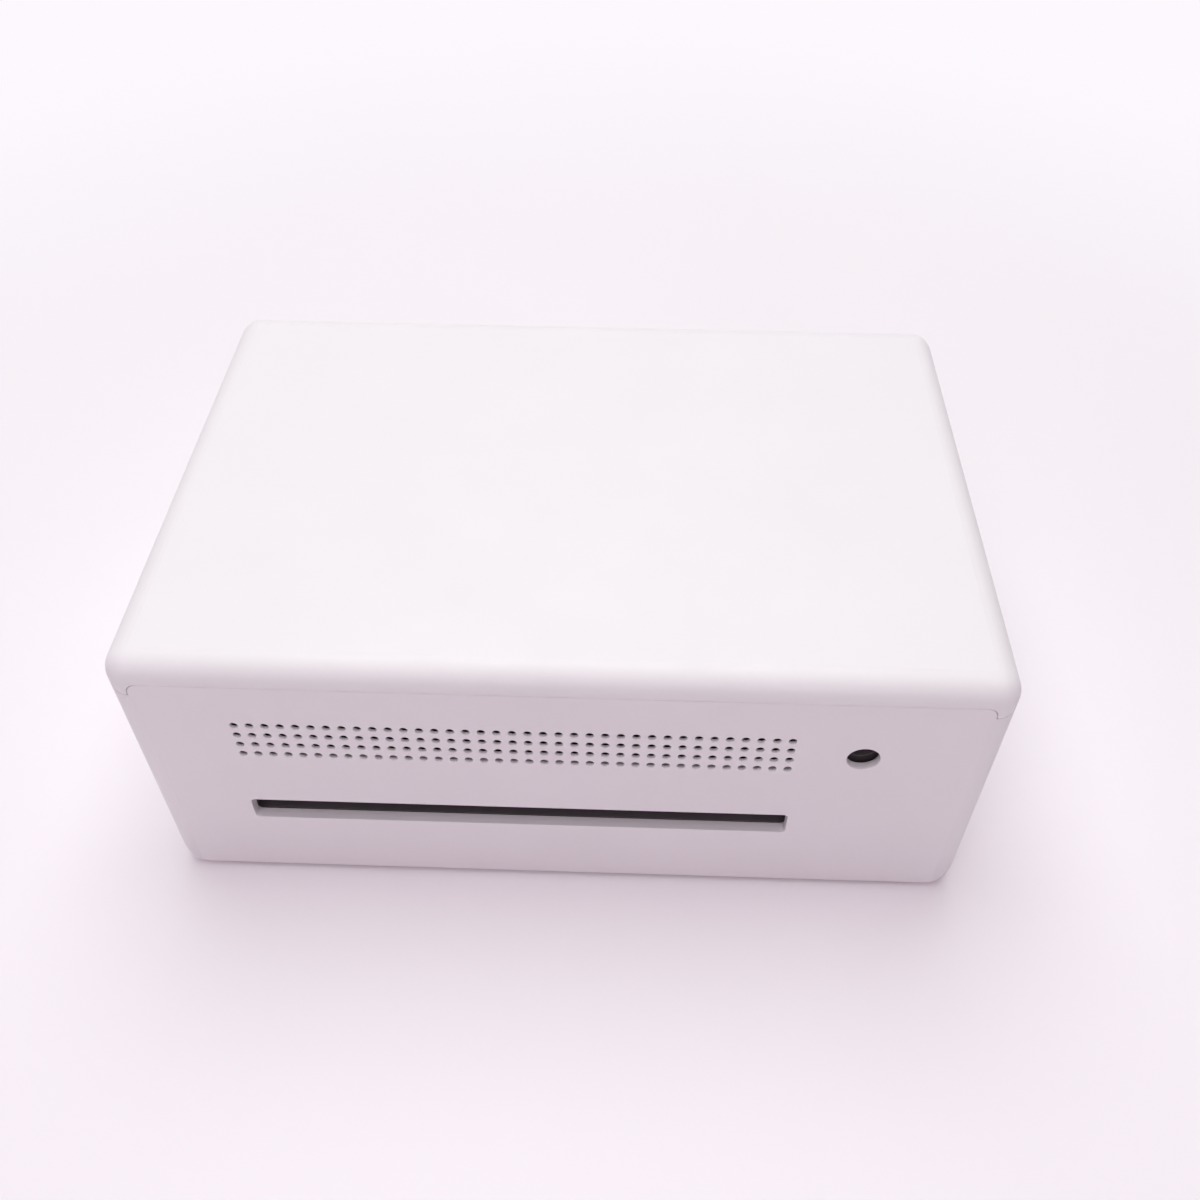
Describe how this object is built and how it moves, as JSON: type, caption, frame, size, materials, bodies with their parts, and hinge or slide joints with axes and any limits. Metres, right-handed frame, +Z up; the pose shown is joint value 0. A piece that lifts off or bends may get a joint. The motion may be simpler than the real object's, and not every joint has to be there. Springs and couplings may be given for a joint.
{
  "type": "photo printer",
  "caption": "Compact dye-sublimation photo printer with a rear paper slot, round vents, power inlet, drop-down tray door, ribbon door and working paper, ribbon and print-head drives.",
  "frame": {"origin": "on the supporting surface, under the middle of the printer's overall box", "axes": "+X to the ribbon door's side, which is the right side seen from the front; +Y from the tray door to the rear slot; +Z up"},
  "size_m": [0.172, 0.117, 0.068],
  "materials": {
    "casing": "matt, finely textured",
    "clear": "clear",
    "foot_rubber": "matt",
    "roller_rubber": "ground, matt",
    "steel": "satin",
    "sheet_steel": "zinc-plated",
    "aluminium": "extruded",
    "head_ceramic": "glazed at the tip",
    "black_plastic": "matt",
    "gear_plastic": "natural acetal",
    "cartridge_plastic": "matt",
    "ribbon": "coated film",
    "brass": "turned",
    "board": "solder resist",
    "component": "matt"
  },
  "bodies": {
    "printer": {"lower_case": "casing", "front_panel": "casing", "rear_panel": "casing", "top_cover": "casing", "rubber_feet": "foot_rubber", "case_screws": "steel", "status_lens": "clear", "button_board": "board", "chassis": "sheet_steel", "tray_guide": "black_plastic", "rear_paper_guide": "black_plastic", "shaft_bushes": "brass", "chassis_screws": "steel", "idler_pins": "steel", "feed_motor": "steel", "ribbon_motor": "steel", "lift_motor": "steel", "motor_plate": "sheet_steel", "head_pins": "steel", "cartridge_frame": "cartridge_plastic", "ribbon_film": "ribbon", "latch_pin": "steel", "main_board": "board", "main_board_parts": "component", "power_board": "board", "power_jack": "black_plastic", "board_screws": "steel"},
    "tray_door": {"tray_door": "casing"},
    "ribbon_door": {"ribbon_door": "casing"},
    "power_button": {"power_button": "casing"},
    "platen": {"platen_roller": "roller_rubber", "platen_ring": "steel"},
    "capstan": {"capstan_roller": "steel", "capstan_gear": "gear_plastic", "capstan_ring": "steel"},
    "pinch": {"pinch_roller": "roller_rubber"},
    "pickup": {"pickup_shaft": "steel", "pickup_tyre": "roller_rubber", "pickup_gear": "gear_plastic", "pickup_ring": "steel"},
    "idler_rear": {"idler_gear_rear": "gear_plastic"},
    "idler_front": {"idler_gear_front": "gear_plastic"},
    "feed_pinion": {"feed_pinion": "brass"},
    "take_up": {"take_up_drive": "gear_plastic", "take_up_spool": "gear_plastic", "take_up_ribbon": "ribbon"},
    "ribbon_pinion": {"ribbon_pinion": "brass"},
    "supply": {"supply_spool": "gear_plastic", "supply_ribbon": "ribbon"},
    "print_head": {"head_bracket": "sheet_steel", "heatsink": "aluminium", "thermal_head": "head_ceramic"},
    "cam": {"cam_shaft": "steel", "cam_gear": "gear_plastic", "cam_ring": "steel"},
    "lift_pinion": {"lift_pinion": "brass"},
    "cartridge_latch": {"cartridge_latch": "cartridge_plastic"}
  },
  "joints": [
    {"name": "tray_door_hinge", "type": "hinge", "parent": "printer", "child": "tray_door", "pos_m": [0.009, -0.0567, 0.0068], "axis": [1, 0, 0], "range_deg": [0, 90]},
    {"name": "ribbon_door_hinge", "type": "hinge", "parent": "printer", "child": "ribbon_door", "pos_m": [0.0842, 0.0035, 0.0271], "axis": [0, 1, 0], "range_deg": [0, 90]},
    {"name": "power_button_press", "type": "slide", "parent": "printer", "child": "power_button", "axis": [0, 1, 0], "range_m": [0, 0.0006], "stiffness_N_per_m": 400},
    {"name": "platen_spin", "type": "hinge", "parent": "printer", "child": "platen", "pos_m": [0.009, 0.004, 0.0163], "axis": [1, 0, 0], "continuous": true},
    {"name": "capstan_spin", "type": "hinge", "parent": "printer", "child": "capstan", "pos_m": [0.009, 0.022, 0.0183], "axis": [1, 0, 0], "continuous": true},
    {"name": "pinch_spin", "type": "hinge", "parent": "printer", "child": "pinch", "pos_m": [0.009, 0.022, 0.0262], "axis": [1, 0, 0], "continuous": true},
    {"name": "pickup_spin", "type": "hinge", "parent": "printer", "child": "pickup", "pos_m": [0.009, -0.04, 0.0295], "axis": [1, 0, 0], "continuous": true},
    {"name": "idler_rear_spin", "type": "hinge", "parent": "printer", "child": "idler_rear", "pos_m": [0.009, -0.0003, 0.02868], "axis": [1, 0, 0], "continuous": true},
    {"name": "idler_front_spin", "type": "hinge", "parent": "printer", "child": "idler_front", "pos_m": [0.009, -0.02253, 0.0168], "axis": [1, 0, 0], "continuous": true},
    {"name": "feed_pinion_spin", "type": "hinge", "parent": "printer", "child": "feed_pinion", "pos_m": [0.009, 0.01929, 0.03366], "axis": [1, 0, 0], "continuous": true},
    {"name": "take_up_spin", "type": "hinge", "parent": "printer", "child": "take_up", "pos_m": [0.009, -0.02, 0.042], "axis": [1, 0, 0], "continuous": true},
    {"name": "ribbon_pinion_spin", "type": "hinge", "parent": "printer", "child": "ribbon_pinion", "pos_m": [0.009, -0.0137, 0.05291], "axis": [1, 0, 0], "continuous": true},
    {"name": "supply_spin", "type": "hinge", "parent": "printer", "child": "supply", "pos_m": [0.009, 0.027, 0.042], "axis": [1, 0, 0], "continuous": true},
    {"name": "head_pivot", "type": "hinge", "parent": "printer", "child": "print_head", "pos_m": [0.009, 0.045, 0.042], "axis": [1, 0, 0], "range_deg": [0, 9], "deforming": ["ribbon_film"]},
    {"name": "cam_turn", "type": "hinge", "parent": "printer", "child": "cam", "pos_m": [0.009, 0.0465, 0.054], "axis": [1, 0, 0], "range_deg": [0, 150]},
    {"name": "lift_pinion_turn", "type": "hinge", "parent": "printer", "child": "lift_pinion", "pos_m": [0.009, 0.0357, 0.054], "axis": [1, 0, 0], "range_deg": [-300, 0]},
    {"name": "latch_pivot", "type": "hinge", "parent": "printer", "child": "cartridge_latch", "pos_m": [0.009, 0.0461, 0.034], "axis": [-1, 0, 0], "range_deg": [0, 15], "stiffness_Nm_per_rad": 0.02}
  ],
  "couplings": [
    {"joint": "pinch_spin", "follows": "capstan_spin", "ratio": -1.5},
    {"joint": "idler_rear_spin", "follows": "capstan_spin", "ratio": -0.95238},
    {"joint": "idler_front_spin", "follows": "capstan_spin", "ratio": 0.95238},
    {"joint": "pickup_spin", "follows": "capstan_spin", "ratio": -1.3333},
    {"joint": "feed_pinion_spin", "follows": "capstan_spin", "ratio": -3.3333},
    {"joint": "ribbon_pinion_spin", "follows": "take_up_spin", "ratio": -2.5},
    {"joint": "cam_turn", "follows": "head_pivot", "ratio": 16.667},
    {"joint": "lift_pinion_turn", "follows": "head_pivot", "ratio": -33.333}
  ]
}
